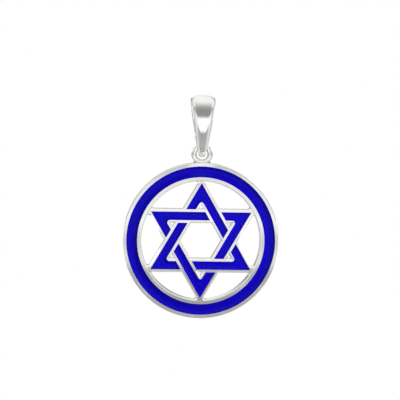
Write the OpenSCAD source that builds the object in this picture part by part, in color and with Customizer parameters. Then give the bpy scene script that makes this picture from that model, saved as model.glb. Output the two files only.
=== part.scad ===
// Round openwork pendant with an interlaced six-pointed star, inlaid enamel and a tapered bail.
// Millimetres. The origin is the chain seat, the inside top of the bail, with Z up and the front at -Y.

/* [Round frame] */
// Outside diameter of the round frame
disc_d = 22; // [18:0.5:30]
// Thickness of the round frame, front to back
rim_t = 1.8; // [1.4:0.1:3]
// Radial width of the silver border outside the enamel
rim_outer_w = 0.57; // [0.5:0.01:1]
// Radial width of the enamel band of the frame
rim_enamel_w = 1.43; // [0.8:0.01:2]
// Radial width of the flat silver border inside the enamel
rim_inner_w = 0.45; // [0.3:0.05:0.8]
// Radius of the rounded outer front edge
rim_round = 0.14; // [0.1:0.02:0.4]
// Radius of the rounded front edge of the opening
opening_round = 0.16; // [0.1:0.02:0.4]
// Small edge break round the back of the frame
back_break = 0.15; // [0.05:0.05:0.25]

/* [Star] */
// How far the sharp tip of a strand's corner runs into the frame
tip_bite = 0.57; // [0.4:0.01:0.6]
// Width of one silver strand over its two borders, as a share of the star's reach
strand_share = 0.442; // [0.4:0.002:0.47]
// Silver border on the outer side of a strand's enamel
outer_border = 0.43; // [0.35:0.01:0.5]
// Silver border on the inner side of a strand's enamel
inner_border = 0.43; // [0.35:0.01:0.52]
// Width of the sloped edge of a strand's border
edge_w = 0.24; // [0.1:0.02:0.28]
// Depth of the sloped edge of a strand's border
edge_depth = 0.2; // [0.1:0.05:0.35]
// How far the star's front lies below the front of the frame
star_drop = 0.02; // [0.02:0.02:0.2]
// How far the star's back lies in front of the back of the frame
star_rise = 0.3; // [0:0.05:0.3]
// Radius of the small fillets where a point of the star meets the frame
tip_fillet = 0.3; // [0.1:0.02:0.4]

/* [Enamel] */
// Depth of the channels and cells that hold the enamel
cell_depth = 0.5; // [0.3:0.05:0.7]
// How far the enamel's face lies below the silver round it
enamel_low = 0.08; // [0.02:0.02:0.2]
// Gap between the enamel and the walls of its cell
enamel_gap = 0.02; // [0.01:0.01:0.04]
// Radius of the rounded silver corner inside each point of the star, where its enamel turns
cell_round = 0.36; // [0.1:0.02:0.5]

/* [Jump ring] */
// Diameter of the jump ring's wire
wire_d = 0.76; // [0.6:0.02:0.9]
// Inside diameter of the jump ring
eye_d = 1.5; // [1.3:0.05:2]
// How far the ring's wire is sunk into the frame
ring_sink = 0.3; // [0.2:0.05:0.5]
// Radius of the solder fillets between the ring and the frame
solder_fillet = 0.25; // [0.15:0.05:0.4]
// Thickness of the solder, front to back
solder_t = 0.56; // [0.4:0.02:0.6]

/* [Bail] */
// Length of the bail, from its top to its foot
bail_len = 8.8; // [7.5:0.1:12]
// Width of the bail over the chain
bail_w = 3.36; // [2.6:0.02:4.2]
// Depth of the bail's opening for the chain, front to back
bail_depth = 2.9; // [2.4:0.1:3.6]
// Metal thickness over the chain
bail_wall = 0.7; // [0.5:0.05:0.9]
// Metal thickness of the leaves above the foot
leaf_wall = 0.62; // [0.5:0.02:0.8]
// Sideways width of the rounded shoulder along each side of a leaf
bail_edge_w = 0.72; // [0.4:0.02:0.8]
// Running gap between the ring's wire and the bail
ring_gap = 0.05; // [0.04:0.01:0.08]
// Free height left in the ring's eye below the bail's foot
eye_gap = 0.29; // [0.2:0.01:0.4]
// Hollow of the leaf's front panel at its middle
panel_hollow = 0.03; // [0:0.01:0.08]

/* [Hidden] */
$fn = 96;
over = 0.4; // how far a cutter runs past the face it cuts
silver = "#d6d8da";
blue = "#140ab4";

// Radii of the frame, from the outside in
disc_r = disc_d / 2;
enamel_r = disc_r - rim_outer_w;
bezel_r = enamel_r - rim_enamel_w;
opening_r = bezel_r - rim_inner_w - opening_round;
rim_front = rim_t / 2;

// The star: each distance is measured from the centre, square to the side of a triangle
star_reach = (opening_r + tip_bite) / 2;
strand_w = strand_share * star_reach;
enamel_reach = star_reach - outer_border;
star_inside = star_reach - strand_w;
enamel_inside = star_inside + inner_border;
star_front = rim_front - star_drop;
star_back = star_rise - rim_front;
star_t = star_front - star_back;
side_len = 4 * star_reach * sqrt(3);
SIDES = [30, 150, 270];

// Heights: the bail hangs from the origin, the ring on the bail, the frame on the ring
wire_r = wire_d / 2;
eye_r = eye_d / 2;
ring_r = eye_r + wire_r;
seat_r = wire_r + ring_gap;
foot_t = eye_d - ring_gap - eye_gap;
foot_z = bail_wall - bail_len;
swing_z = foot_z + foot_t + seat_r;
ring_z = swing_z - ring_r;
disc_z = ring_z - ring_r - wire_r - disc_r + ring_sink;

// Leaves of the bail, seen from the side
bend_r = bail_depth / 2;
foot_lean = 18; // lean of a leaf from upright where it reaches the foot
shoulder_pull = 0.3; // pull of the leaf's curve below the bend, as a share of the leaf's height
foot_pull = 0.5; // pull of the leaf's curve above the foot, as a share of the leaf's height
bend_steps = 9;
leaf_steps = 14;
foot_steps = 7;

// The leaf's outline from the front: full width down to straight_part of the length, then a taper
straight_part = 0.13;
taper_power = 1.2;
foot_share_w = 0.25; // width of the taper at the very end, as a share of bail_w
eye_fill = 0.7; // share of the eye's free radius that the foot's half width takes
foot_half_w = eye_fill * (eye_r - ring_gap);
widest_share = 0.5; // share of the metal at which a leaf is widest

// Half sections of the bail from the inner face outwards: [share of the half width, share of the metal]
bend_section = [[0.93, 0], [1.0, 0.1], [1.0, 0.3]];
foot_section = [[0.2, 0], [0.62, 0.2], [1.0, 0.6]];
shoulder_steps = 4; // from the side to the panel the section is a quarter of an ellipse
foot_panel = 0.16; // share of the half width that the panel keeps at the foot
dome_share = 0.863; // radius of the dome across the top of the bend, as a share of bail_w
dome_from = 25; // turn above level at which the dome starts to come in
dome_least = 0.2; // share of the metal that is left at the dome's ends
foot_from = 0.4; // share of the bail's length at which the foot's section starts to come in
foot_span = 0.34; // share of the bail's length over which it comes in
eye_from = 18; // turn of the leaf below level at which the foot starts to narrow inside the ring's eye
eye_full = 80; // turn at which it has its full narrowness

function blend(a, b, t) = a + (b - a) * t;
function ease(t) = t * t * (3 - 2 * t);
function limit(x) = max(0, min(1, x));

// Point where two side lines meet: a, b are the directions of their normals and d, e their distances
function corner(a, d, b, e) =
    let (s = sin(b - a))
    [(d * sin(b) - e * sin(a)) / s, (e * cos(a) - d * cos(b)) / s];

// Points of an arc about a centre
function arc(centre, r, from, to, steps) =
    [for (i = [0:steps]) let (a = blend(from, to, i / steps)) centre + r * [cos(a), sin(a)]];

// Turns what is drawn on the X-Y plane, front up, to face -Y at the frame's height
module in_disc() {
    translate([0, 0, disc_z]) rotate([90, 0, 0]) children();
}

// Section of the frame: radius across, front up
module rim_section() {
    outer_centre = [disc_r - rim_round, rim_front - rim_round];
    opening_centre = [opening_r + opening_round, rim_front - opening_round];
    polygon(concat(
        [[opening_r, -rim_front + back_break], [opening_r + back_break, -rim_front]],
        [[disc_r - back_break, -rim_front], [disc_r, -rim_front + back_break]],
        arc(outer_centre, rim_round, 0, 90, 4),
        [[enamel_r, rim_front], [enamel_r, rim_front - cell_depth]],
        [[bezel_r, rim_front - cell_depth], [bezel_r, rim_front]],
        arc(opening_centre, opening_round, 90, 180, 4)
    ));
}

module rim() {
    rotate_extrude() rim_section();
}

module triangle(reach) {
    polygon([for (a = SIDES) 2 * reach * [cos(a + 60), sin(a + 60)]]);
}

// Sweeps a section along one side of a triangle: section X is the distance from the centre, Y is front up
module along_side(a) {
    rotate([0, 0, a]) rotate([90, 0, 0]) linear_extrude(height = side_len, center = true) children();
}

// Section of a strand, open above the front so that only the inner edge is sloped
module strand_section() {
    slope = edge_w / edge_depth;
    polygon([
        [star_inside, star_back - over],
        [2 * star_reach + over, star_back - over],
        [2 * star_reach + over, star_front + over],
        [star_inside + edge_w + slope * over, star_front + over],
        [star_inside, star_front - edge_depth],
    ]);
}

// What the outer sloped edge takes off the front
module edge_section() {
    slope = edge_w / edge_depth;
    polygon([
        [star_reach - edge_w - slope * over, star_front + over],
        [star_reach + slope * over, star_front - edge_depth - over],
        [star_reach + slope * over, star_front + over],
    ]);
}

// One triangle of the star: an outer plate with sloped edges, kept where its three strands run
module star_triangle() {
    intersection() {
        difference() {
            translate([0, 0, star_back]) linear_extrude(height = star_t) triangle(star_reach);
            for (a = SIDES) along_side(a) edge_section();
        }
        union() for (a = SIDES) along_side(a) strand_section();
    }
}

// Foot of each point of the star, widened by a fillet on both sides where it meets the frame. The arc is
// drawn for the side line whose normal is at 30 degrees, and mirrored for the other side
module tip_fillets() {
    sunk = 0.01; // the arc's ends lie just inside the metal
    deep = 0.1;
    line = star_reach + tip_fillet - sunk;
    centre_r = opening_r - tip_fillet + sunk;
    centre_a = 30 + acos(line / centre_r);
    right = concat(
        arc(centre_r * [cos(centre_a), sin(centre_a)], tip_fillet, 210, centre_a, 5),
        [(opening_r + deep) * [cos(centre_a), sin(centre_a)]]
    );
    left = [for (i = [len(right) - 1:-1:0]) [-right[i][0], right[i][1]]];
    for (a = [0:60:300]) rotate([0, 0, a]) translate([0, 0, star_back])
        linear_extrude(height = star_t - edge_depth) polygon(concat(right, left));
}

// One filling of the star for the point at the top: the point, its long arm to the right, its short arm
// to the left. The gap draws every side in by the same amount.
module filling_outline(gap) {
    outside = enamel_reach - gap;
    inside = enamel_inside + gap;
    crossing = star_reach + gap;
    passed = star_inside - gap;
    turn_r = cell_round + gap;
    turn_y = 2 * (inside - turn_r);
    polygon(concat(
        [corner(30, outside, 150, outside), corner(150, outside, 90, crossing)],
        [corner(150, inside, 90, crossing)],
        arc([0, turn_y], turn_r, 150, 30, 6),
        [corner(30, inside, 330, passed), corner(30, outside, 330, passed)]
    ));
}

// Turn of each filling about the centre, clockwise from the top
function filling_turn(i) = -60 * (i - 1);

module cells() {
    for (i = [1:6]) rotate([0, 0, filling_turn(i)]) translate([0, 0, star_front - cell_depth])
        linear_extrude(height = cell_depth + over) filling_outline(0);
}

module jump_ring() {
    translate([0, 0, ring_z]) rotate([90, 0, 0])
        rotate_extrude() translate([ring_r, 0]) circle(r = wire_r, $fn = 48);
}

// Solder at both feet of the ring, drawn from the front: X across, Y up from the ring's centre
module solder() {
    outer_r = ring_r + wire_r;
    between = ring_z - disc_z;
    to_ring = outer_r + solder_fillet;
    to_disc = disc_r + solder_fillet;
    down = (to_ring * to_ring - to_disc * to_disc + between * between) / (2 * between);
    centre = [sqrt(to_ring * to_ring - down * down), -down];
    ring_a = atan2(down, -centre[0]);
    disc_a = atan2(-between + down, -centre[0]);
    deep = 0.12;
    outline = concat(
        [[0, -outer_r - deep], [0, -ring_r]],
        arc(centre, solder_fillet, ring_a, disc_a + 360, 6),
        [centre - (solder_fillet + deep) * [cos(disc_a + 180), sin(disc_a + 180)]]
    );
    translate([0, solder_t / 2, ring_z]) rotate([90, 0, 0]) linear_extrude(height = solder_t) {
        polygon(outline);
        mirror([1, 0]) polygon(outline);
    }
}

module medallion() {
    color(silver) {
        in_disc() difference() {
            union() {
                rim();
                star_triangle();
                rotate([0, 0, 60]) star_triangle();
                tip_fillets();
            }
            cells();
        }
        jump_ring();
        solder();
    }
}

module rim_enamel() {
    color(blue) in_disc() rotate_extrude()
        translate([bezel_r + enamel_gap, rim_front - cell_depth])
            square([rim_enamel_w - 2 * enamel_gap, cell_depth - enamel_low]);
}

module star_enamel(i) {
    color(blue) in_disc() rotate([0, 0, filling_turn(i)])
        translate([0, 0, star_front - cell_depth])
            linear_extrude(height = cell_depth - enamel_low) filling_outline(enamel_gap);
}

// Path of the bail's inner face down the rear half, from the top of the bend to the foot:
// [Y, Z, turn of the outward normal from +Y], so 90 is up and -90 is down
bend_path = [for (i = [0:bend_steps - 1]) let (a = 90 - 90 * i / bend_steps)
    [bend_r * cos(a), bend_r * sin(a) - bend_r, a]];
leaf_top = [bend_r, -bend_r];
leaf_foot = [seat_r * cos(foot_lean), swing_z - seat_r * sin(foot_lean)];
leaf_h = leaf_top[1] - leaf_foot[1];
leaf_pull = [
    leaf_top,
    leaf_top - leaf_h * shoulder_pull * [0, 1],
    leaf_foot + leaf_h * foot_pull * [sin(foot_lean), cos(foot_lean)],
    leaf_foot,
];
function leaf_point(t) =
    let (u = 1 - t)
    u * u * u * leaf_pull[0] + 3 * u * u * t * leaf_pull[1]
        + 3 * u * t * t * leaf_pull[2] + t * t * t * leaf_pull[3];
function leaf_heading(t) =
    let (u = 1 - t)
    u * u * (leaf_pull[1] - leaf_pull[0]) + 2 * u * t * (leaf_pull[2] - leaf_pull[1])
        + t * t * (leaf_pull[3] - leaf_pull[2]);
leaf_path = [for (i = [0:leaf_steps - 1]) let (t = i / leaf_steps, h = leaf_heading(t))
    [leaf_point(t)[0], leaf_point(t)[1], atan2(h[0], -h[1])]];
foot_path = [for (i = [0:foot_steps]) let (a = -blend(foot_lean, 90, i / foot_steps))
    [seat_r * cos(a), swing_z + seat_r * sin(a), a]];
half_path = concat(bend_path, leaf_path, foot_path);
last = len(half_path) - 1;

// Metal thickness at a point of the path
function metal(p) =
    p[1] > -bend_r ? bail_wall
    : p[1] > leaf_foot[1] ? blend(bail_wall, leaf_wall, (p[1] + bend_r) / (leaf_foot[1] + bend_r))
    : blend(leaf_wall, foot_t, ease(limit((-p[2] - foot_lean) / (90 - foot_lean))));

// Half width of the leaf at a height, from its outline seen from the front
function outline_half_w(z) =
    let (x = limit(((bail_wall - z) / bail_len - straight_part) / (1 - straight_part)))
    bail_w / 2 * (1 - (1 - foot_share_w) * pow(x, taper_power));

// How far a point of the path is on its way to the foot's section, 0 to 1
function foot_share(p) = ease(limit((-p[1] / bail_len - foot_from) / foot_span));

// How far a point of the path is inside the ring's eye, 0 to 1
function eye_share(p) = ease(limit((-p[2] - eye_from) / (eye_full - eye_from)));

// How far a point of the path is on its way to the dome at the top, 0 to 1
function dome_part(p) = ease(limit((p[2] - dome_from) / (90 - dome_from)));

// Height of the dome at a distance from its middle
function dome_up(x, t) =
    let (r = dome_share * bail_w)
    max(t - r + sqrt(r * r - x * x), dome_least * t);

function half_section(p) =
    let (
        t = metal(p),
        out = [cos(p[2]), sin(p[2])],
        s = foot_share(p),
        widest = p[1] + out[1] * t * widest_share,
        w = blend(outline_half_w(widest), foot_half_w, eye_share(p)),
        panel = max(foot_panel * w, w - bail_edge_w),
        hollow = panel_hollow * limit(panel / bail_edge_w),
        flat = concat(
            [for (i = [0:2]) [
                w * blend(bend_section[i][0], foot_section[i][0], s),
                t * blend(bend_section[i][1], foot_section[i][1], s),
            ]],
            [for (i = [1:shoulder_steps]) let (a = 90 * i / shoulder_steps) [
                blend(panel, w, cos(a)),
                t * blend(blend(bend_section[2][1], foot_section[2][1], s), 1, sin(a)),
            ]],
            [[panel / 2, t - hollow * 3 / 4], [0, t - hollow]]
        )
    )
    [for (i = [0:len(flat) - 1]) [
        flat[i][0],
        i < 2 ? flat[i][1] : blend(flat[i][1], dome_up(flat[i][0], t), dome_part(p)),
    ]];

// Whole section: the half section, then its mirror image, as points in space
function bail_section(p, back) =
    let (
        half = half_section(p),
        middle = len(half) - 1,
        flat = concat([[0, 0]], half, [for (i = [middle - 1:-1:0]) [-half[i][0], half[i][1]]])
    )
    [for (q = flat) [
        q[0],
        back * (p[0] + q[1] * cos(p[2])),
        p[1] + q[1] * sin(p[2]),
    ]];

// Sections round the whole loop: down the rear leaf, through the ring and up the front leaf
bail_sections = concat(
    [for (i = [0:last]) bail_section(half_path[i], 1)],
    [for (i = [last - 1:-1:1]) bail_section(half_path[i], -1)]
);

module bail() {
    count = len(bail_sections);
    sides = len(bail_sections[0]);
    points = [for (s = bail_sections) each s];
    faces = [
        for (i = [0:count - 1]) for (j = [0:sides - 1])
            let (
                k = (i + 1) % count,
                m = (j + 1) % sides,
                a = i * sides + j,
                b = i * sides + m,
                c = k * sides + m,
                d = k * sides + j
            )
            each [[a, b, c], [a, c, d]]
    ];
    color(silver) polyhedron(points = points, faces = faces);
}

bail();
medallion();
rim_enamel();
for (i = [1:6]) star_enamel(i);
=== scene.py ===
"""Dresses a round silver pendant, with a woven star and blue enamel, and lights it for a photograph.

Sizes are in millimetres, and MM turns them to Blender's metres. The origin is the inside top of the
bail, Z is up and the front faces -Y. On the disc, a place is given as (across, up, forward) from the
disc's centre.
"""

import logging
import math
from dataclasses import dataclass
from enum import Enum
from typing import Callable, Optional, Sequence, Union

import bmesh
import bpy
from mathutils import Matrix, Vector


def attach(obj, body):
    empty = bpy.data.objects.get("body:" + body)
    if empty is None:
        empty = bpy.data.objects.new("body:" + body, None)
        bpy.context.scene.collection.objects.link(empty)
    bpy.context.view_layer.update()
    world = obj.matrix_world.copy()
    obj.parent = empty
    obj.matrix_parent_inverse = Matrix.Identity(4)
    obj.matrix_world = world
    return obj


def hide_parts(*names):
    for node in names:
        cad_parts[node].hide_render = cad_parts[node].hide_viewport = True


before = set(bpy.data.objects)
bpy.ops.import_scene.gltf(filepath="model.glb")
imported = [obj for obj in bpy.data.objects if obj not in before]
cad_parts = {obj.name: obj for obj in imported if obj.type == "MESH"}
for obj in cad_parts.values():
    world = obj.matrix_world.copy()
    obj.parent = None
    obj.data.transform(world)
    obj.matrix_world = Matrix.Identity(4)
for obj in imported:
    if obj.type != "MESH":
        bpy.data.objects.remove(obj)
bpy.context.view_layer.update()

MM = 0.001
# In metres: points closer than MERGE become one, and a place within NEAR of a level lies on it.
MERGE = 1e-7
NEAR = MERGE * 10
# In degrees: an edge that turns more than this stays sharp.
CREASE = 35.0
# A corner's arc takes at most ARC_SHARE of the sides beside it, and a point HELD_SHARE of the arc's
# reach beyond each end keeps the side flat.
ARC_SHARE = 0.4
HELD_SHARE = 0.2
# The attribute that tells the enamel's material how deep it lies at each point, by which the material
# paints shade near the walls.
WALL_SHADE_DEPTH = "enamel_depth_wall_shade"
LOG = logging.getLogger("pendant")

Object = bpy.types.Object
Material = bpy.types.Material
Tree = bpy.types.NodeTree
Node = bpy.types.Node
Socket = bpy.types.NodeSocket
Flat = tuple[float, float]
Corner = tuple[float, float, float]
Colour = tuple[float, float, float, float]
Band = tuple[Flat, ...]
Inputs = dict[Union[str, int], Union[float, Sequence[float], Socket]]


class Body(Enum):
    """The bodies that pieces ride on."""

    BAIL = "bail"
    DROP = "drop"


class Slot(Enum):
    """The record's material slots."""

    SILVER = "polished_silver"
    ENAMEL = "blue_enamel"


class Job(Enum):
    """What a soft box is there for: its picture in polished metal, or its light on colour."""

    REFLECTION = "reflection"
    COLOUR = "colour"


class Aim(Enum):
    """What a soft box faces."""

    PLANE = "the pendant's plane, straight ahead"
    INWARDS = "the pendant's middle, from the side"
    DISC = "the middle of the disc"


class Part(Enum):
    """The parts of a mesh that a test can pick."""

    EDGE = "EDGE"
    FACE = "FACE"


class Way(Enum):
    """What one solid does to another."""

    JOIN = "UNION"
    CUT = "DIFFERENCE"


def linear(code: str) -> Colour:
    """Turns an sRGB hex colour to linear light, by the standard curve.

    Args:
        code: the colour as #RRGGBB.

    Returns:
        Red, green, blue and alpha in linear light.
    """
    parts = [int(code[i : i + 2], 16) / 255 for i in (1, 3, 5)]
    red, green, blue = [p / 12.92 if p <= 0.04045 else ((p + 0.055) / 1.055) ** 2.4 for p in parts]
    return (red, green, blue, 1.0)


def grey(light: float) -> Colour:
    """Gives the neutral grey of a linear light."""
    return (light, light, light, 1.0)


def feed(tree: Tree, node: Node, inputs: Inputs) -> None:
    """Sets a node's inputs.

    Args:
        tree: the node tree.
        node: the node.
        inputs: for each input, a value or the output that is linked to it.
    """
    for key, value in inputs.items():
        if isinstance(value, Socket):
            tree.links.new(value, node.inputs[key])
        else:
            node.inputs[key].default_value = value


def add_node(
    tree: Tree,
    kind: str,
    inputs: Optional[Inputs] = None,
    output: Union[str, int] = 0,
    stops: Sequence[tuple[float, Colour]] = (),
    **settings: object,
) -> Socket:
    """Adds a node with its settings, its inputs and, on a ramp, its stops.

    Args:
        tree: the node tree.
        kind: the node's type, without its first word ShaderNode.
        inputs: its inputs, as feed takes them.
        output: the output that is wanted.
        stops: places and colours of a colour ramp.
        settings: the node's properties.

    Returns:
        The wanted output.
    """
    node = tree.nodes.new(f"ShaderNode{kind}")
    for key, value in settings.items():
        setattr(node, key, value)
    feed(tree, node, inputs or {})
    if stops:
        elements = node.color_ramp.elements
        while len(elements) < len(stops):
            elements.new(1.0)
        for element, (place, colour) in zip(elements, stops):
            element.position = place
            element.color = colour
    return node.outputs[output]


def start_material(name: str) -> tuple[Material, Tree, Node, Socket]:
    """Starts a material that reads the piece's own Object coordinates.

    Args:
        name: the material's name.

    Returns:
        The material, its node tree, its shader, and a point's place on the piece in metres.
    """
    material = bpy.data.materials.new(name)
    material.use_nodes = True
    tree = material.node_tree
    return material, tree, tree.nodes["Principled BSDF"], add_node(tree, "TexCoord", output="Object")


@dataclass(frozen=True)
class BuffedSilver:
    """Sterling silver, cast and buffed on a wheel: a neutral mirror, hazed where the wheel lifted.

    The haze shows as soft patches a millimetre or two wide. The hairlines of the last buffing are finer
    than the picture can show, so they are drawn 0.08 mm apart, and only soften the reflections along the
    wheel's way.
    """

    name: str = "sterling_silver_buffed"
    bright: str = "#F7F7F6"
    hazed: str = "#EFEFEE"
    smoothest: float = 0.09
    roughest: float = 0.13
    haze_mm: float = 1.6
    haze_detail: float = 3.0
    haze_roughness: float = 0.55
    haze_from: float = 0.35
    haze_full: float = 0.7
    hairline_mm: float = 0.08
    hairline_run_mm: float = 1.2
    hairline_detail: float = 1.0
    hairline_depth_mm: float = 0.0001

    def make(self) -> Material:
        """Builds the material.

        Returns:
            The silver.
        """
        material, tree, shader, place = start_material(self.name)
        scale = 1 / (self.haze_mm * MM)
        patches = {"Scale": scale, "Detail": self.haze_detail, "Roughness": self.haze_roughness}
        haze = add_node(tree, "TexNoise", {"Vector": place, **patches})
        limits = {"From Min": self.haze_from, "From Max": self.haze_full}
        share = add_node(tree, "MapRange", {"Value": haze, **limits})
        tones = {"A": linear(self.bright), "B": linear(self.hazed)}
        colour = add_node(tree, "Mix", {"Factor": share, **tones}, "Result", data_type="RGBA")
        ends = {"To Min": self.smoothest, "To Max": self.roughest}
        roughness = add_node(tree, "MapRange", {"Value": share, **ends})
        along = 1 / (self.hairline_run_mm * MM)
        across = 1 / (self.hairline_mm * MM)
        stretched = add_node(tree, "Mapping", {"Vector": place, "Scale": (across, across, along)})
        fine = {"Scale": 1.0, "Detail": self.hairline_detail}
        hairlines = add_node(tree, "TexNoise", {"Vector": stretched, **fine})
        bump = add_node(tree, "Bump", {"Height": hairlines, "Distance": self.hairline_depth_mm * MM})
        looks = {"Metallic": 1.0, "Base Color": colour, "Roughness": roughness, "Normal": bump}
        feed(tree, shader, looks)
        return material


@dataclass(frozen=True)
class FiredEnamel:
    """Opaque cobalt enamel, fired in the cells and polished: a deep even blue under a glassy surface.

    It draws down a little as it cools, so it is dished. Near the walls it is painted darker: painted
    shade, where the walls shade the dish, by the depth that the piece's own attribute stores. It is also
    faintly clouded, with a soft ripple left by the fire.
    """

    name: str = "cobalt_enamel_fired"
    full: str = "#1004BC"
    cloud: str = "#0F03B6"
    wall_shade: str = "#0E03AC"
    roughness: float = 0.06
    specular: float = 0.06
    cloud_mm: float = 2.4
    cloud_detail: float = 4.0
    ripple_mm: float = 0.7
    ripple_detail: float = 1.0
    ripple_depth_mm: float = 0.0002

    def make(self) -> Material:
        """Builds the material.

        Returns:
            The enamel.
        """
        material, tree, shader, place = start_material(self.name)
        patches = {"Scale": 1 / (self.cloud_mm * MM), "Detail": self.cloud_detail}
        clouds = add_node(tree, "TexNoise", {"Vector": place, **patches})
        tones = {"A": linear(self.full), "B": linear(self.cloud)}
        body = add_node(tree, "Mix", {"Factor": clouds, **tones}, "Result", data_type="RGBA")
        # Painted shade: the colour darkens towards the walls, by the stored depth, where the walls shade
        # the dish.
        depth = add_node(tree, "Attribute", output="Fac", attribute_name=WALL_SHADE_DEPTH)
        wall_shade_tones = {"A": linear(self.wall_shade), "B": body}
        colour = add_node(tree, "Mix", {"Factor": depth, **wall_shade_tones}, "Result", data_type="RGBA")
        waves = {"Scale": 1 / (self.ripple_mm * MM), "Detail": self.ripple_detail}
        ripple = add_node(tree, "TexNoise", {"Vector": place, **waves})
        bump = add_node(tree, "Bump", {"Height": ripple, "Distance": self.ripple_depth_mm * MM})
        gloss = {"Roughness": self.roughness, "Specular IOR Level": self.specular}
        feed(tree, shader, {**gloss, "Base Color": colour, "Normal": bump})
        return material


@dataclass(frozen=True)
class MattePaper:
    """Pale studio paper, rolled out under the piece: soft, even and a little fibrous."""

    name: str = "studio_paper_pale"
    sheet: str = "#E0E0DE"
    fibre: str = "#DADAD8"
    fibre_mm: float = 3.0
    fibre_detail: float = 5.0
    roughness: float = 0.85
    specular: float = 0.2

    def make(self) -> Material:
        """Builds the material.

        Returns:
            The paper.
        """
        material, tree, shader, place = start_material(self.name)
        patches = {"Scale": 1 / (self.fibre_mm * MM), "Detail": self.fibre_detail}
        fibres = add_node(tree, "TexNoise", {"Vector": place, **patches})
        tones = {"A": linear(self.sheet), "B": linear(self.fibre)}
        colour = add_node(tree, "Mix", {"Factor": fibres, **tones}, "Result", data_type="RGBA")
        gloss = {"Roughness": self.roughness, "Specular IOR Level": self.specular}
        feed(tree, shader, {**gloss, "Base Color": colour})
        return material


def blend(a: float, b: float, share: float) -> float:
    """Gives the value a share of the way from a to b."""
    return a + (b - a) * share


def limit(value: float) -> float:
    """Keeps a share between 0 and 1."""
    return max(0.0, min(1.0, value))


def ease(share: float) -> float:
    """Starts and ends a share's change softly."""
    return share * share * (3 - 2 * share)


def on_circle(radius: float, turn: float) -> Flat:
    """Places a point at a radius and a direction in degrees."""
    return radius * math.cos(math.radians(turn)), radius * math.sin(math.radians(turn))


def meeting(turn_a: float, far_a: float, turn_b: float, far_b: float) -> Flat:
    """Finds where two straight edges meet.

    Args:
        turn_a: direction of the first edge's normal in degrees.
        far_a: its distance from the centre.
        turn_b: direction of the second edge's normal.
        far_b: its distance from the centre.

    Returns:
        The corner.
    """
    a = math.radians(turn_a)
    b = math.radians(turn_b)
    between = math.sin(b - a)
    x = (far_a * math.sin(b) - far_b * math.sin(a)) / between
    y = (far_b * math.cos(a) - far_a * math.cos(b)) / between
    return x, y


def rounded(corners: Sequence[Corner], steps: int, closed: bool = True) -> list[Flat]:
    """Rounds the corners of a flat outline with true arcs, and holds the flats on both sides of each.

    Args:
        corners: each corner as (x, y, radius).
        steps: steps in each arc.
        closed: whether the last corner joins the first; if not, both ends stay sharp.

    Returns:
        The outline's points, the same number for the same number of corners.
    """
    path: list[Vector] = []
    count = len(corners)
    for i, (x, y, radius) in enumerate(corners):
        here = Vector((x, y))
        if radius == 0 or (not closed and i in (0, count - 1)):
            path.append(here)
            continue
        back = Vector(corners[i - 1][:2]) - here
        on = Vector(corners[(i + 1) % count][:2]) - here
        half = back.angle(on) / 2
        reach = min(radius / math.tan(half), ARC_SHARE * back.length, ARC_SHARE * on.length)
        start = here + back.normalized() * reach
        end = here + on.normalized() * reach
        path.append(start + back.normalized() * reach * HELD_SHARE)
        for k in range(steps + 1):
            t = k / steps
            first = (1 - t) ** 2
            middle = 2 * math.sin(half) * t * (1 - t)
            last = t * t
            path.append((first * start + middle * here + last * end) / (first + middle + last))
        path.append(end + on.normalized() * reach * HELD_SHARE)
    return [(p.x, p.y) for p in path]


def clear() -> None:
    """Goes to object mode with nothing selected."""
    if bpy.context.mode != "OBJECT":
        bpy.ops.object.mode_set(mode="OBJECT")
    bpy.ops.object.select_all(action="DESELECT")


def choose(*pieces: Object) -> None:
    """Selects pieces alone, in object mode.

    Args:
        pieces: the pieces; the first one becomes active.
    """
    clear()
    for piece in pieces:
        piece.select_set(True)
    bpy.context.view_layer.objects.active = pieces[0]


def edit(piece: Object) -> None:
    """Opens a piece alone in edit mode, with all of its mesh selected.

    Args:
        piece: the piece.
    """
    choose(piece)
    bpy.ops.object.mode_set(mode="EDIT")
    bpy.ops.mesh.select_mode(type="VERT")
    bpy.ops.mesh.select_all(action="SELECT")


def opened(name: str) -> Object:
    """Names the primitive that was just added and opens it in edit mode.

    Args:
        name: its name.

    Returns:
        The new piece.
    """
    piece = bpy.context.object
    piece.name = name
    edit(piece)
    return piece


def pick(piece: Object, part: Part, wanted: Callable[[list[Vector]], bool]) -> None:
    """Selects the edges or faces that a test accepts, in edit mode.

    Args:
        piece: the piece in edit mode.
        part: whether edges or faces are picked.
        wanted: takes the points of an edge or face, in metres.
    """
    bpy.ops.mesh.select_mode(type=part.value)
    bpy.ops.mesh.select_all(action="DESELECT")
    mesh = bmesh.from_edit_mesh(piece.data)
    for item in mesh.edges if part is Part.EDGE else mesh.faces:
        if wanted([piece.matrix_world @ v.co for v in item.verts]):
            item.select_set(True)
    mesh.select_flush(part is Part.FACE)
    bmesh.update_edit_mesh(piece.data)


def push(forward: float) -> None:
    """Extrudes the selected faces, in edit mode, by millimetres to the front, or back if negative."""
    bpy.ops.mesh.extrude_region_move(TRANSFORM_OT_translate={"value": (0, -forward * MM, 0)})


def inset(wide: float, deep: float) -> None:
    """Insets the selected face, in edit mode, by a width, and moves it out by a depth, in millimetres."""
    bpy.ops.mesh.inset(thickness=wide * MM, depth=deep * MM, use_even_offset=True)


def turn_outwards() -> None:
    """Turns all faces of the open piece outwards, and leaves them selected."""
    bpy.ops.mesh.select_all(action="SELECT")
    bpy.ops.mesh.normals_make_consistent(inside=False)


def settle(piece: Object) -> None:
    """Puts a piece's place into its mesh, so that its object sits at the origin."""
    choose(piece)
    bpy.ops.object.transform_apply(location=True, rotation=True, scale=True)


def close_up(piece: Object) -> Object:
    """Merges a piece's doubles, turns its faces outwards and leaves edit mode.

    Args:
        piece: the piece, in edit mode.

    Returns:
        The piece.
    """
    bpy.ops.mesh.select_all(action="SELECT")
    bpy.ops.mesh.remove_doubles(threshold=MERGE)
    turn_outwards()
    settle(piece)
    return piece


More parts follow.
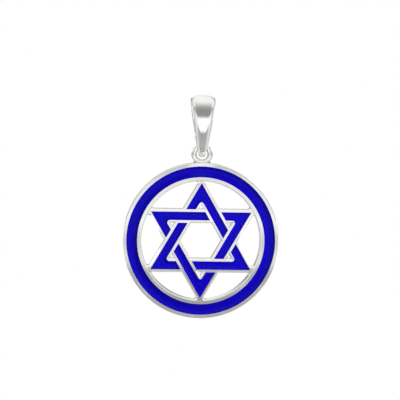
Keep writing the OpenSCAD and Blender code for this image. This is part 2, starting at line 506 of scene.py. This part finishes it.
def trace(name: str, points: Sequence[Vector], closed: bool = True, filled: bool = False) -> Object:
    """Draws a line by extruding one point along it, and leaves it in edit mode, all selected.

    Args:
        name: the new piece's name.
        points: the line's points in metres.
        closed: whether the line comes back to its start.
        filled: whether the outline gets a face, which then looks to the front.

    Returns:
        The new piece.
    """
    clear()
    bpy.ops.mesh.primitive_plane_add(size=MM, location=points[0])
    piece = opened(name)
    bpy.ops.mesh.merge(type="CENTER")
    line = list(points) + ([points[0]] if closed else [])
    for here, there in zip(line, line[1:]):
        bpy.ops.mesh.extrude_vertices_move(TRANSFORM_OT_translate={"value": there - here})
    bpy.ops.mesh.select_all(action="SELECT")
    bpy.ops.mesh.remove_doubles(threshold=MERGE)
    if filled:
        bpy.ops.mesh.edge_face_add()
        face = bmesh.from_edit_mesh(piece.data).faces[0]
        face.normal_update()
        if face.normal.y > 0:
            bpy.ops.mesh.flip_normals()
    return piece


def spun(piece: Object, centre: Vector, steps: int) -> Object:
    """Spins a drawn outline once round an axis that runs front to back.

    Args:
        piece: the outline, in edit mode and selected.
        centre: a point on the axis, in metres.
        steps: steps in the full turn.

    Returns:
        The piece, in object mode.
    """
    bpy.ops.mesh.spin(steps=steps, angle=math.tau, center=centre, axis=(0, 1, 0), use_auto_merge=True)
    return close_up(piece)


def copies(piece: Object, centre: Vector, turns: Sequence[float]) -> list[Object]:
    """Copies a piece, each copy with its own mesh, and turns the copies in the plane of the disc.

    Args:
        piece: the piece to copy.
        centre: the point that the copies turn about, in metres.
        turns: each copy's turn in degrees, counter-clockwise as seen from the front.

    Returns:
        The copies.
    """
    made = []
    for turn in turns:
        choose(piece)
        bpy.ops.object.duplicate(linked=False)
        copy = bpy.context.object
        edit(copy)
        bpy.ops.transform.rotate(
            value=math.radians(turn), orient_axis="Y", orient_type="GLOBAL", center_override=centre
        )
        bpy.ops.object.mode_set(mode="OBJECT")
        made.append(copy)
    return made


def apply_modifier(piece: Object, kind: str, **settings: object) -> None:
    """Adds a modifier to a piece and applies it.

    Args:
        piece: the piece.
        kind: the modifier's type.
        settings: the modifier's properties.
    """
    choose(piece)
    modifier = piece.modifiers.new(kind.lower(), kind)
    for key, value in settings.items():
        setattr(modifier, key, value)
    bpy.ops.object.modifier_apply(modifier=modifier.name)


def combine(piece: Object, other: Object, way: Way) -> None:
    """Joins or cuts a piece with another solid, which is used up.

    The manifold solver is used, because it also closes the faces that lie in one plane.

    Args:
        piece: the piece that is kept.
        other: the solid that is added or cut away.
        way: what is done with it.
    """
    apply_modifier(piece, "BOOLEAN", operation=way.value, solver="MANIFOLD", object=other)
    bpy.data.objects.remove(other)


def dress(piece: Object, material: Material, body: Body, stands_for: str) -> None:
    """Smooths and finishes a piece, ties it to its body, and hides the node that it stands for.

    Args:
        piece: the finished shape.
        material: its finish.
        body: the body that it rides on.
        stands_for: the node that it replaces.
    """
    choose(piece)
    bpy.ops.object.shade_smooth_by_angle(angle=math.radians(CREASE))
    piece.data.materials.clear()
    piece.data.materials.append(material)
    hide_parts(stands_for)
    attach(piece, body.value)
    LOG.info("%s: %d faces, on %s", piece.name, len(piece.data.polygons), body.value)


@dataclass(frozen=True)
class Filling:
    """How enamel lies in its cell: clear of the walls, its edge below the metal and its face dished."""

    dish: float
    cell_depth: float = 0.5
    gap: float = 0.004
    top: float = 0.05
    power: float = 2.0

    def sag(self, share: float) -> float:
        """Gives how far the face lies below its edge, a share of the way from a wall to the middle."""
        return self.dish * (1 - (1 - share) ** self.power)

    def mark(self, piece: Object, front: float) -> None:
        """Stores how deep the enamel is at each point, from 0 at the wall to 1 in the middle, for the
        painted shade near the walls.

        Args:
            piece: the enamel.
            front: how far forward the metal's face lies, in millimetres.
        """
        edge = front - self.top
        values = [limit((edge + v.co.y / MM) / self.dish) for v in piece.data.vertices]
        attribute = piece.data.attributes.new(WALL_SHADE_DEPTH, "FLOAT", "POINT")
        attribute.data.foreach_set("value", values)


@dataclass
class RoundFrame:
    """The round frame of the medallion, with the enamel ring in its channel.

    The silver runs from opening_r to bezel_r and from enamel_r to outer_r, and the channel lies between.
    """

    centre_z: float = -19.85
    outer_r: float = 11.0
    enamel_r: float = 10.48
    bezel_r: float = 8.97
    opening_r: float = 8.39
    front: float = 0.9
    outer_round: float = 0.14
    opening_round: float = 0.16
    back_round: float = 0.14
    wall_round: float = 0.015
    round_steps: int = 8
    around: int = 288
    filling: Filling = Filling(dish=0.125)
    dish_steps: int = 28

    @property
    def centre(self) -> Vector:
        """The disc's centre, in metres."""
        return Vector((0, 0, self.centre_z * MM))

    def place(self, across: float, up: float, forward: float) -> Vector:
        """Turns a place on the disc to metres.

        Args:
            across: millimetres to the right of the centre, seen from the front.
            up: millimetres above it.
            forward: millimetres in front of it.

        Returns:
            The place.
        """
        return Vector((across, -forward, self.centre_z + up)) * MM

    def metal(self) -> Object:
        """Turns the frame like a ring on a lathe: its section is drawn and spun round the disc's axis.

        Returns:
            The silver frame.
        """
        floor = self.front - self.filling.cell_depth
        corners = [
            (self.opening_r, -self.front, self.back_round),
            (self.outer_r, -self.front, self.back_round),
            (self.outer_r, self.front, self.outer_round),
            (self.enamel_r, self.front, self.wall_round),
            (self.enamel_r, floor, self.wall_round),
            (self.bezel_r, floor, self.wall_round),
            (self.bezel_r, self.front, self.wall_round),
            (self.opening_r, self.front, self.opening_round),
        ]
        section = rounded(corners, self.round_steps)
        piece = trace("round_frame", [self.place(r, 0, forward) for r, forward in section])
        return spun(piece, self.centre, self.around)

    def enamel(self) -> Object:
        """Lays the dished ring of enamel in the channel, spun as the frame is.

        Returns:
            The ring of enamel.
        """
        filling = self.filling
        inner = self.bezel_r + filling.gap
        outer = self.enamel_r - filling.gap
        floor = self.front - filling.cell_depth + filling.gap
        section = [(inner, floor), (outer, floor)]
        for i in range(self.dish_steps + 1):
            across = i / self.dish_steps
            low = filling.top + filling.sag(1 - abs(2 * across - 1))
            section.append((blend(outer, inner, across), self.front - low))
        piece = trace("rim_enamel_face", [self.place(r, 0, forward) for r, forward in section])
        filling.mark(spun(piece, self.centre, self.around), self.front)
        return piece


@dataclass
class WovenStar:
    """The six-pointed star: two triangles woven through each other, with six cells of enamel.

    The upright triangle's sides face 30, 150 and 270 degrees, and the other one is turned by 60. A
    strand's outer edge lies at reach from the centre, and its inner edge a strand's width nearer. Its
    edges slope over edge_w and edge_depth. A point has a fillet on both sides where it meets the frame,
    and runs on into the metal by sunk. The borders are the silver on both sides of a cell, spread is how
    far a cell's ends reach past the edge of the strand that they cross, and clearance is how far a punch
    stands clear of the faces that it goes through. The dish has a step at each of dish_stops, which are
    shares of the way from a wall to the middle.
    """

    rim: RoundFrame
    reach: float = 4.48
    strand: float = 1.98016
    front: float = 0.88
    back: float = -0.6
    edge_w: float = 0.24
    edge_depth: float = 0.2
    fillet: float = 0.3
    fillet_steps: int = 8
    sunk: float = 0.35
    outer_border: float = 0.405
    inner_border: float = 0.40
    spread: float = 0.03
    cell_round: float = 0.36
    cell_steps: int = 12
    cell_edge: float = 0.012
    clearance: float = 0.1
    filling: Filling = Filling(dish=0.08)
    dish_stops: tuple[float, ...] = (0.03, 0.08, 0.15, 0.24, 0.35, 0.48, 0.63, 0.8)

    @property
    def inside(self) -> float:
        """Distance from the centre to the inner edge of a strand."""
        return self.reach - self.strand

    def point(self) -> list[Flat]:
        """Draws the top point of a triangle, widened by its fillets where it runs into the frame.

        Returns:
            The point's corners, from right to left.
        """
        centre_r = self.rim.opening_r - self.fillet
        turn = 30 + math.degrees(math.acos((self.reach + self.fillet) / centre_r))
        middle = on_circle(centre_r, turn)
        right = []
        for i in range(self.fillet_steps + 1):
            x, y = on_circle(self.fillet, blend(210, turn, i / self.fillet_steps))
            right.append((middle[0] + x, middle[1] + y))
        right.append(on_circle(self.rim.opening_r + self.sunk, turn))
        return right + [(-x, y) for x, y in reversed(right)]

    def triangle(self) -> Object:
        """Models one triangle: a plate raised from its outline, its edge sloped, its middle punched out.

        Returns:
            The triangle with a point at the top.
        """
        corners = []
        for turn in (0, 120, 240):
            c, s = on_circle(1.0, turn)
            corners += [(x * c - y * s, x * s + y * c) for x, y in self.point()]
        piece = trace("woven_star", [self.rim.place(x, y, self.back) for x, y in corners], filled=True)
        rise = self.front - self.edge_depth - self.back
        push(rise)
        turn_outwards()
        level = -(self.front - self.edge_depth) * MM
        pick(piece, Part.FACE, lambda points: all(abs(p.y - level) < NEAR for p in points))
        inset(self.edge_w, self.edge_depth)
        close_up(piece)
        wide = self.edge_w * (1 + self.clearance / self.edge_depth)
        far = 2 * (self.inside + wide)
        hole = [on_circle(far, turn) for turn in (90, 210, 330)]
        middle = self.punch("middle", hole, wide, self.edge_depth + self.clearance, rise + self.clearance)
        combine(piece, middle, Way.CUT)
        return piece

    def punch(self, name: str, corners: Sequence[Flat], wide: float, deep: float, down: float) -> Object:
        """Models a punch: drawn above the star's front, narrowed by its flare, then pushed straight down.

        Args:
            name: its name.
            corners: its outline at the top.
            wide: how far the flare draws in, in millimetres.
            deep: the height of the flare.
            down: the height of the straight part below it.

        Returns:
            The punch.
        """
        top = self.front + self.clearance
        piece = trace(name, [self.rim.place(x, y, top) for x, y in corners], filled=True)
        bpy.ops.mesh.flip_normals()
        bpy.ops.mesh.select_mode(type="FACE")
        inset(wide, deep)
        push(-down)
        level = -(top * MM) + NEAR
        pick(piece, Part.EDGE, lambda points: all(p.y < level for p in points))
        bpy.ops.mesh.edge_face_add()
        return close_up(piece)

    def cell(self, gap: float) -> list[Flat]:
        """Draws one cell: a point of the star, its long arm to the right and its short arm to the left.

        Args:
            gap: how far every side is drawn in.

        Returns:
            The cell's corners.
        """
        outside = self.reach - self.outer_border - gap
        inside = self.inside + self.inner_border + gap
        crossing = self.reach - self.spread + gap
        passed = self.inside + self.spread - gap
        turn_r = self.cell_round + gap
        turn_y = 2 * (inside - turn_r)
        bend = [on_circle(turn_r, 150 - 120 * i / self.cell_steps) for i in range(self.cell_steps + 1)]
        return [
            meeting(30, outside, 150, outside),
            meeting(150, outside, 90, crossing),
            meeting(150, inside, 90, crossing),
            *((x, turn_y + y) for x, y in bend),
            meeting(30, inside, 330, passed),
            meeting(30, outside, 330, passed),
        ]

    def metal(self) -> Object:
        """Weaves the star: two triangles joined, then the cells punched, with their edges broken.

        Returns:
            The silver star.
        """
        star = self.triangle()
        combine(star, copies(star, self.rim.centre, [60])[0], Way.JOIN)
        flare = self.cell_edge + self.clearance
        straight = self.filling.cell_depth - self.cell_edge
        cell = self.punch("cell", self.cell(-flare), flare, flare, straight)
        choose(cell, *copies(cell, self.rim.centre, range(60, 360, 60)))
        bpy.ops.object.join()
        combine(star, cell, Way.CUT)
        return star

    def enamel(self) -> list[Object]:
        """Fills the cells: a filling is raised from the cell's outline, and its face inset to a dish.

        Returns:
            The six fillings, clockwise from the top.
        """
        filling = self.filling
        floor = self.front - filling.cell_depth + filling.gap
        edge = self.front - filling.top
        outline = [self.rim.place(x, y, floor) for x, y in self.cell(filling.gap)]
        piece = trace("star_enamel_face_1", outline, filled=True)
        bpy.ops.mesh.select_mode(type="FACE")
        push(edge - floor)
        level = -(edge * MM) + NEAR
        pick(piece, Part.FACE, lambda points: all(p.y < level for p in points))
        half = (self.strand - self.outer_border - self.inner_border) / 2 - filling.gap
        done = 0.0
        low = 0.0
        for share in self.dish_stops:
            inset((share - done) * half, low - filling.sag(share))
            done = share
            low = filling.sag(share)
        close_up(piece)
        filling.mark(piece, self.front)
        rest = copies(piece, self.rim.centre, range(-60, -360, -60))
        for i, copy in enumerate(rest):
            copy.name = f"star_enamel_face_{i + 2}"
        return [piece] + rest


@dataclass
class JumpRing:
    """The closed jump ring on top of the frame, with the solder that holds it."""

    rim: RoundFrame
    centre_z: float = -7.64
    ring_r: float = 1.13
    wire_r: float = 0.38
    wire_sides: int = 40
    around: int = 120
    solder_round: float = 0.25
    solder_steps: int = 10
    solder_t: float = 0.56
    solder_sunk: float = 0.12
    solder_bevel: float = 0.09
    bevel_steps: int = 3

    def ring(self) -> Object:
        """Bends the wire: a round section spun about the ring's axis.

        Returns:
            The ring.
        """
        clear()
        start = Vector((self.ring_r, 0, self.centre_z)) * MM
        radius = self.wire_r * MM
        bpy.ops.mesh.primitive_circle_add(vertices=self.wire_sides, radius=radius, location=start)
        return spun(opened("jump_ring"), Vector((0, 0, self.centre_z * MM)), self.around)

    def solder(self) -> Object:
        """Models the solder: a web between ring and frame, hollow on both sides as molten metal draws.

        Returns:
            The solder.
        """
        outer = self.ring_r + self.wire_r
        between = self.centre_z - self.rim.centre_z
        to_ring = outer + self.solder_round
        to_disc = self.rim.outer_r + self.solder_round
        down = (to_ring**2 - to_disc**2 + between**2) / (2 * between)
        across = math.sqrt(to_ring**2 - down**2)
        from_ring = math.atan2(down, -across)
        from_disc = math.atan2(down - between, -across) + math.tau
        steps = range(self.solder_steps + 1)
        arc = [(self.solder_round, blend(from_ring, from_disc, i / self.solder_steps)) for i in steps]
        arc.append((self.solder_round + self.solder_sunk, from_disc))
        right = [(across + r * math.cos(a), -down + r * math.sin(a)) for r, a in arc]
        left = [(-x, y) for x, y in reversed(right)]
        whole = [(0.0, -self.ring_r)] + right + [(0.0, -outer - self.solder_sunk)] + left
        back = self.solder_t / 2
        line = [Vector((x, back, self.centre_z + y)) * MM for x, y in whole]
        piece = trace("ring_solder", line, filled=True)
        push(self.solder_t)
        turn_outwards()
        pick(piece, Part.EDGE, lambda points: abs(points[0].y - points[1].y) < MERGE)
        bpy.ops.mesh.bevel(offset=self.solder_bevel * MM, segments=self.bevel_steps, clamp_overlap=True)
        return close_up(piece)


@dataclass
class Bail:
    """The tapered bail: one closed loop of metal, wide over the chain and narrow in the ring.

    Its section turns from the leaf's to the foot's from foot_from on, over foot_span, both shares of the
    length. Pairs hold a share for the leaf and one for the foot, of the section's half width or height.
    The leaf is straight at first, then narrows to foot_share_w of its width, and between the turns
    eye_from and eye_full it takes the width that goes through the ring's eye. The front panel keeps
    side_w clear of the sides, and is hollow. Above the turn dome_from, the top swells to a low dome.
    """

    length: float = 8.8
    width: float = 3.36
    depth: float = 2.9
    wall: float = 0.7
    leaf_wall: float = 0.62
    foot_t: float = 1.16
    foot_half_w: float = 0.49
    seat_r: float = 0.43
    swing_z: float = -6.51
    foot_lean: float = 18.0
    shoulder_pull: float = 0.3
    foot_pull: float = 0.5
    straight: float = 0.13
    taper_power: float = 1.2
    foot_share_w: float = 0.25
    widest_share: float = 0.5
    side_w: float = 0.72
    foot_panel: float = 0.16
    hollow: float = 0.03
    foot_from: float = 0.4
    foot_span: float = 0.34
    eye_from: float = 18.0
    eye_full: float = 80.0
    inner_w: Flat = (0.93, 0.2)
    chamfer_w: Flat = (1.0, 0.62)
    chamfer_up: Flat = (0.1, 0.2)
    side_up: Flat = (0.3, 0.6)
    edge_round: float = 0.07
    dome_r: float = 2.9
    dome_from: float = 25.0
    dome_least: float = 0.2
    edge_steps: int = 3
    shoulder_steps: int = 8
    panel_steps: int = 4
    bend_steps: int = 20
    leaf_steps: int = 30
    foot_steps: int = 16

    @property
    def foot(self) -> Flat:
        """Where the leaf runs into the foot, on its inner face."""
        y, z = on_circle(self.seat_r, -self.foot_lean)
        return y, self.swing_z + z

    def path(self) -> list[Corner]:
        """Follows the inner face of the rear half from the top of the bend to the foot.

        Returns:
            Points as (y, z, turn of the outward normal in degrees).
        """
        r = self.depth / 2
        points = []
        for i in range(self.bend_steps):
            turn = 90 - 90 * i / self.bend_steps
            y, z = on_circle(r, turn)
            points.append((y, z - r, turn))
        lean = math.radians(self.foot_lean)
        top = Vector((r, -r))
        foot = Vector(self.foot)
        height = top.y - foot.y
        pull = [
            top,
            top - Vector((0, height * self.shoulder_pull)),
            foot + Vector((math.sin(lean), math.cos(lean))) * height * self.foot_pull,
            foot,
        ]
        legs = [after - before for before, after in zip(pull, pull[1:])]
        for i in range(self.leaf_steps):
            t = i / self.leaf_steps
            u = 1 - t
            at = u**3 * pull[0] + 3 * u * u * t * pull[1] + 3 * u * t * t * pull[2] + t**3 * pull[3]
            way = u * u * legs[0] + 2 * u * t * legs[1] + t * t * legs[2]
            points.append((at.x, at.y, math.degrees(math.atan2(way.x, -way.y))))
        for i in range(self.foot_steps + 1):
            turn = -blend(self.foot_lean, 90, i / self.foot_steps)
            y, z = on_circle(self.seat_r, turn)
            points.append((y, self.swing_z + z, turn))
        return points

    def metal_t(self, z: float, turn: float) -> float:
        """Gives the metal's thickness at a point of the path.

        Args:
            z: the point's height.
            turn: its outward normal in degrees.

        Returns:
            The thickness.
        """
        shoulder = -self.depth / 2
        foot_z = self.foot[1]
        if z > shoulder:
            return self.wall
        if z > foot_z:
            return blend(self.wall, self.leaf_wall, (z - shoulder) / (foot_z - shoulder))
        share = ease(limit((-turn - self.foot_lean) / (90 - self.foot_lean)))
        return blend(self.leaf_wall, self.foot_t, share)

    def section(self, y: float, z: float, turn: float) -> list[Vector]:
        """Draws half of the bail's section at a point of the path, from its inner to its outer middle.

        Args:
            y: the point's place, front to back.
            z: its height.
            turn: its outward normal in degrees.

        Returns:
            The half section's points in metres.
        """
        t = self.metal_t(z, turn)
        out = Vector((0, *on_circle(1.0, turn)))
        share = ease(limit((-z / self.length - self.foot_from) / self.foot_span))
        in_eye = ease(limit((-turn - self.eye_from) / (self.eye_full - self.eye_from)))
        widest = z + out.z * t * self.widest_share
        down = limit(((self.wall - widest) / self.length - self.straight) / (1 - self.straight))
        taper = self.width / 2 * (1 - (1 - self.foot_share_w) * down**self.taper_power)
        w = blend(taper, self.foot_half_w, in_eye)
        panel = max(self.foot_panel * w, w - self.side_w)
        side_up = t * blend(*self.side_up, share)
        inside: list[Corner] = [
            (0.0, 0.0, 0.0),
            (w * blend(*self.inner_w, share), 0.0, self.edge_round),
            (w * blend(*self.chamfer_w, share), t * blend(*self.chamfer_up, share), self.edge_round),
            (w, side_up, 0.0),
        ]
        flat = rounded(inside, self.edge_steps, closed=False)
        for i in range(1, self.shoulder_steps + 1):
            a = math.pi / 2 * i / self.shoulder_steps
            flat.append((blend(panel, w, math.cos(a)), blend(side_up, t, math.sin(a))))
        hollow = self.hollow * limit(panel / self.side_w)
        for i in range(1, self.panel_steps + 1):
            along = 1 - i / self.panel_steps
            flat.append((panel * along, t - hollow * (1 - along**2)))
        dome = ease(limit((turn - self.dome_from) / (90 - self.dome_from)))
        start = Vector((0, y, z))
        points = []
        for across, up in flat:
            if up >= side_up:
                fall = self.dome_r - math.sqrt(self.dome_r**2 - across**2)
                up = blend(up, max(t - fall, t * self.dome_least), dome)
            points.append((start + out * up + Vector((across, 0, 0))) * MM)
        return points

    def metal(self) -> Object:
        """Forges the bail: one half section is drawn out along a quarter of the loop, then mirrored.

        Returns:
            The bail.
        """
        sections = [self.section(*p) for p in self.path()]
        piece = trace("tapered_bail", sections[0], closed=False)
        origin = piece.matrix_world.translation.copy()
        for settled, wanted in zip(sections, sections[1:]):
            bpy.ops.mesh.extrude_edges_move()
            mesh = bmesh.from_edit_mesh(piece.data)
            for vertex in [v for v in mesh.verts if v.select]:
                here = vertex.co + origin
                nearest = min(range(len(settled)), key=lambda k: (settled[k] - here).length_squared)
                vertex.co = wanted[nearest] - origin
            bmesh.update_edit_mesh(piece.data)
        settle(piece)
        apply_modifier(
            piece, "MIRROR", use_axis=(True, True, False), use_mirror_merge=True, merge_threshold=NEAR
        )
        edit(piece)
        return close_up(piece)


# The areas of the room that the silver reflects: greys by height, as (degrees above the horizon, light).
# The front and sides lie before the pendant. The strip, rear and flank lie behind it, from the middle on.
AREAS: dict[str, Band] = {
    "front": (
        (-90, 0.5), (-50, 0.45), (-34, 0.42), (-30, 0.29), (0, 0.3), (17, 0.38),
        (25, 0.465), (33, 0.56), (49, 0.8), (66, 0.97), (90, 1.0),
    ),
    "sides": (
        (-90, 0.3), (-42, 0.7), (-25, 0.8), (-12, 0.7), (-4, 0.5),
        (6, 0.5), (16, 0.75), (30, 0.95), (90, 1.0),
    ),
    "rear": ((-90, 0.35), (-30, 0.28), (-8, 0.24), (15, 0.22), (30, 0.5), (45, 0.9), (90, 1.0)),
    "flank": ((-90, 0.4), (-30, 0.5), (-8, 0.46), (15, 0.5), (30, 0.65), (45, 0.9), (90, 1.0)),
    "strip": ((-90, 0.5), (-20, 0.6), (-4, 0.6), (0, 0.35), (3, 0.3), (6, 0.5), (9, 0.9), (90, 1.0)),
}

# Each row joins two areas to a new one: its name, the first area, the second, the direction in which the
# first gives way to the second, and where along it the change starts and ends.
JOINS = (
    ("before", "front", "sides", "sideways", 0.2, 0.66),
    ("back", "rear", "flank", "sideways", 0.45, 0.8),
    ("behind", "strip", "back", "sideways", 0.12, 0.3),
    ("room", "before", "behind", "rearwards", -0.08, 0.1),
)


@dataclass(frozen=True)
class SoftBox:
    """A soft box: an even face of a width, between two heights, with a light that is 1 for white."""

    name: str
    x: float
    y: float
    width: float
    low: float
    high: float
    light: float
    aim: Aim = Aim.PLANE
    job: Job = Job.REFLECTION

    def hang(self, disc_z: float) -> None:
        """Hangs the soft box.

        Args:
            disc_z: the height of the disc's centre.
        """
        z = (self.low + self.high) / 2
        place = Vector((self.x, self.y, z))
        aims = {Aim.PLANE: (self.x, 0, z), Aim.INWARDS: (0, self.y, z), Aim.DISC: (0, 0, disc_z)}
        data = bpy.data.lights.new(self.name, "AREA")
        data.shape = "RECTANGLE"
        data.size = self.width * MM
        data.size_y = (self.high - self.low) * MM
        data.energy = self.light * math.pi * data.size * data.size_y
        lamp = bpy.data.objects.new(self.name, data)
        bpy.context.scene.collection.objects.link(lamp)
        lamp.location = place * MM
        lamp.rotation_euler = (Vector(aims[self.aim]) - place).to_track_quat("-Z", "Y").to_euler()
        lamp.visible_camera = False
        lamp.visible_glossy = self.job is Job.REFLECTION
        lamp.visible_diffuse = self.job is Job.COLOUR


# Name, x, y, width, lowest edge, highest edge and light. The front ones overlap and add up to the grey
# stripes on the disc's flats. Lights in one plane would count only once, so each has its own distance.
SOFT_BOXES = (
    SoftBox("front_wash", 2.35, -45.0, 70.0, -29.6, -10.2, 0.36),
    SoftBox("front_strip_high", 2.35, -45.5, 70.0, -23.4, -13.4, 0.12),
    SoftBox("front_strip_middle", 2.35, -45.6, 15.0, -26.2, -23.4, 0.12),
    SoftBox("front_strip_low", 2.35, -45.7, 70.0, -28.9, -26.2, 0.12),
    SoftBox("front_line_high", 2.35, -45.8, 70.0, -22.6, -13.4, 0.11),
    SoftBox("front_line_middle", 2.35, -45.9, 15.0, -27.0, -22.6, 0.11),
    SoftBox("front_line_low", 2.35, -46.0, 70.0, -28.9, -27.0, 0.11),
    SoftBox("front_glow", 2.35, -46.1, 70.0, -22.5, -19.6, 0.14),
    SoftBox("far_line_left", -6.3, -120.0, 10.0, -45.3, -42.0, 0.5),
    SoftBox("far_line_right", 18.7, -120.0, 10.0, -45.3, -42.0, 0.5),
    SoftBox("far_foot", 6.2, -120.5, 28.0, -51.6, -48.2, 0.35),
    SoftBox("ring_card", 0.7, -14.0, 5.0, -9.1, -6.4, 0.5),
    SoftBox("bail_card", 0.5, -12.0, 2.4, -8.9, -5.3, 0.5),
    SoftBox("bail_card_wide", 0.5, -12.5, 3.8, -11.1, -4.5, 0.28),
    SoftBox("bail_rear_left", -10.0, 14.0, 14.0, -6.8, 1.0, 0.52),
    SoftBox("bail_rear_right", 10.0, 14.0, 14.0, -6.8, 1.0, 0.52),
    SoftBox("disc_card_left", -16.0, 4.0, 20.0, -26.0, -16.0, 0.5, Aim.INWARDS),
    SoftBox("bail_side_left", -17.0, 7.0, 14.0, -6.8, 1.0, 0.62, Aim.INWARDS),
    SoftBox("disc_card_right", 16.0, 4.0, 20.0, -26.0, -16.0, 0.5, Aim.INWARDS),
    SoftBox("bail_side_right", 17.0, 7.0, 14.0, -6.8, 1.0, 0.62, Aim.INWARDS),
    SoftBox("key", 207.0, -105.0, 160.0, -25.0, 135.0, 10.5, Aim.DISC, Job.COLOUR),
)


@dataclass
class Studio:
    """The pale floor, the soft light and the camera, whose picture is frame_w wide at the pendant."""

    rim: RoundFrame
    distance: float = 180.0
    azimuth: float = -3.0
    camera_z: float = -1.0
    roll: float = 1.0
    frame_w: float = 56.4
    sensor_w: float = 36.0
    clip_start: float = 5.0
    aim_x: float = -0.18
    aim_z: float = -14.142
    floor_z: float = -131.0
    floor_r: float = 150.0
    floor_t: float = 2.0
    floor_sides: int = 96
    floor_edge: float = 0.8
    edge_steps: int = 3
    fill: float = 0.45

    def room(self, tree: Tree) -> Socket:
        """Paints the room that the silver reflects: grey bands in front and behind, bright above.

        Args:
            tree: the world's nodes.

        Returns:
            Its colour in each direction.
        """
        way = add_node(tree, "TexCoord", output="Generated")
        parts = add_node(tree, "SeparateXYZ", {0: way}).node.outputs
        aside = add_node(tree, "Math", {0: parts["X"]}, operation="ABSOLUTE")
        ways = {"sideways": aside, "rearwards": parts["Y"]}
        height = add_node(tree, "MapRange", {"Value": parts["Z"], "From Min": -1.0, "From Max": 1.0})
        areas = {}
        for name, band in AREAS.items():
            stops = [((math.sin(math.radians(up)) + 1) / 2, grey(light)) for up, light in band]
            areas[name] = add_node(tree, "ValToRGB", {"Fac": height}, stops=stops)
        for name, one, other, along, start, end in JOINS:
            change = {"Value": ways[along], "From Min": start, "From Max": end}
            share = add_node(tree, "MapRange", change, interpolation_type="SMOOTHSTEP")
            pair = {"Factor": share, "A": areas[one], "B": areas[other]}
            areas[name] = add_node(tree, "Mix", pair, "Result", data_type="RGBA")
        return areas["room"]

    def world(self) -> None:
        """Makes the world: the room in reflections, a part of its light on colour, and white to see."""
        world = bpy.data.worlds.new("studio")
        bpy.context.scene.world = world
        world.use_nodes = True
        tree = world.node_tree
        tree.nodes.clear()
        seen = add_node(tree, "LightPath").node.outputs
        pair = {"Factor": seen["Is Camera Ray"], "A": self.room(tree), "B": grey(1.0)}
        colour = add_node(tree, "Mix", pair, "Result", data_type="RGBA")
        share = {"Value": seen["Is Diffuse Ray"], "To Min": 1.0, "To Max": self.fill}
        strength = add_node(tree, "MapRange", share)
        glow = add_node(tree, "Background", {"Color": colour, "Strength": strength})
        tree.links.new(glow, tree.nodes.new("ShaderNodeOutputWorld").inputs["Surface"])

    def camera(self) -> None:
        """Sets the camera a little to the left and level with the bail, looking down at the middle."""
        data = bpy.data.cameras.new("camera")
        camera = bpy.data.objects.new("camera", data)
        bpy.context.scene.collection.objects.link(camera)
        turn = math.radians(self.azimuth)
        place = Vector((self.distance * math.sin(turn), -self.distance * math.cos(turn), self.camera_z))
        aim = Vector((self.aim_x, 0, self.aim_z))
        camera.matrix_world = (aim - place).to_track_quat("-Z", "Y").to_matrix().to_4x4()
        camera.location = place * MM
        camera.rotation_mode = "XYZ"
        camera.rotation_euler.rotate_axis("Z", math.radians(self.roll))
        data.sensor_width = self.sensor_w
        data.lens = self.sensor_w * (aim - place).length / self.frame_w
        data.clip_start = self.clip_start * MM
        bpy.context.scene.camera = camera

    def floor(self, paper: Material) -> None:
        """Rolls out the paper floor, a low disc with a rounded edge.

        Args:
            paper: the floor's finish.
        """
        clear()
        bpy.ops.mesh.primitive_cylinder_add(
            vertices=self.floor_sides,
            radius=self.floor_r * MM,
            depth=self.floor_t * MM,
            location=(0, 0, (self.floor_z - self.floor_t / 2) * MM),
        )
        piece = opened("floor")
        level = self.floor_z * MM - MERGE
        pick(piece, Part.EDGE, lambda points: all(p.z > level for p in points))
        bpy.ops.mesh.bevel(offset=self.floor_edge * MM, segments=self.edge_steps)
        close_up(piece)
        piece.data.materials.append(paper)

    def build(self) -> None:
        """Sets up the whole studio."""
        bpy.context.scene.view_settings.view_transform = "Standard"
        self.camera()
        self.floor(MattePaper().make())
        self.world()
        for box in SOFT_BOXES:
            box.hang(self.rim.centre_z)


def build_pendant(rim: RoundFrame) -> None:
    """Builds and dresses every piece of the pendant, in the order of making.

    Args:
        rim: the frame that the star and the ring are fitted to.
    """
    silver = BuffedSilver().make()
    enamel = FiredEnamel().make()
    # The star's fillings are narrow and shallow, and take a lighter copy of the enamel: painted light,
    # for the light that comes back through them. Its darker tone at the walls is painted shade, as in the
    # ring.
    painted_light_star_enamel = FiredEnamel(
        name="cobalt_enamel_fired_painted_light", full="#1204CA", cloud="#1103C4", wall_shade="#1003B6"
    ).make()
    star = WovenStar(rim)
    ring = JumpRing(rim)
    for piece in (rim.metal(), star.metal(), ring.ring(), ring.solder()):
        dress(piece, silver, Body.DROP, "medallion")
    dress(rim.enamel(), enamel, Body.DROP, "rim_enamel")
    for i, piece in enumerate(star.enamel()):
        dress(piece, painted_light_star_enamel, Body.DROP, f"star_enamel_{i + 1}")
    dress(Bail().metal(), silver, Body.BAIL, "bail")


def main() -> None:
    """Builds the pendant and its studio."""
    logging.basicConfig(level=logging.INFO, format="%(name)s: %(message)s")
    rim = RoundFrame()
    build_pendant(rim)
    Studio(rim).build()


if __name__ == "__main__":
    main()
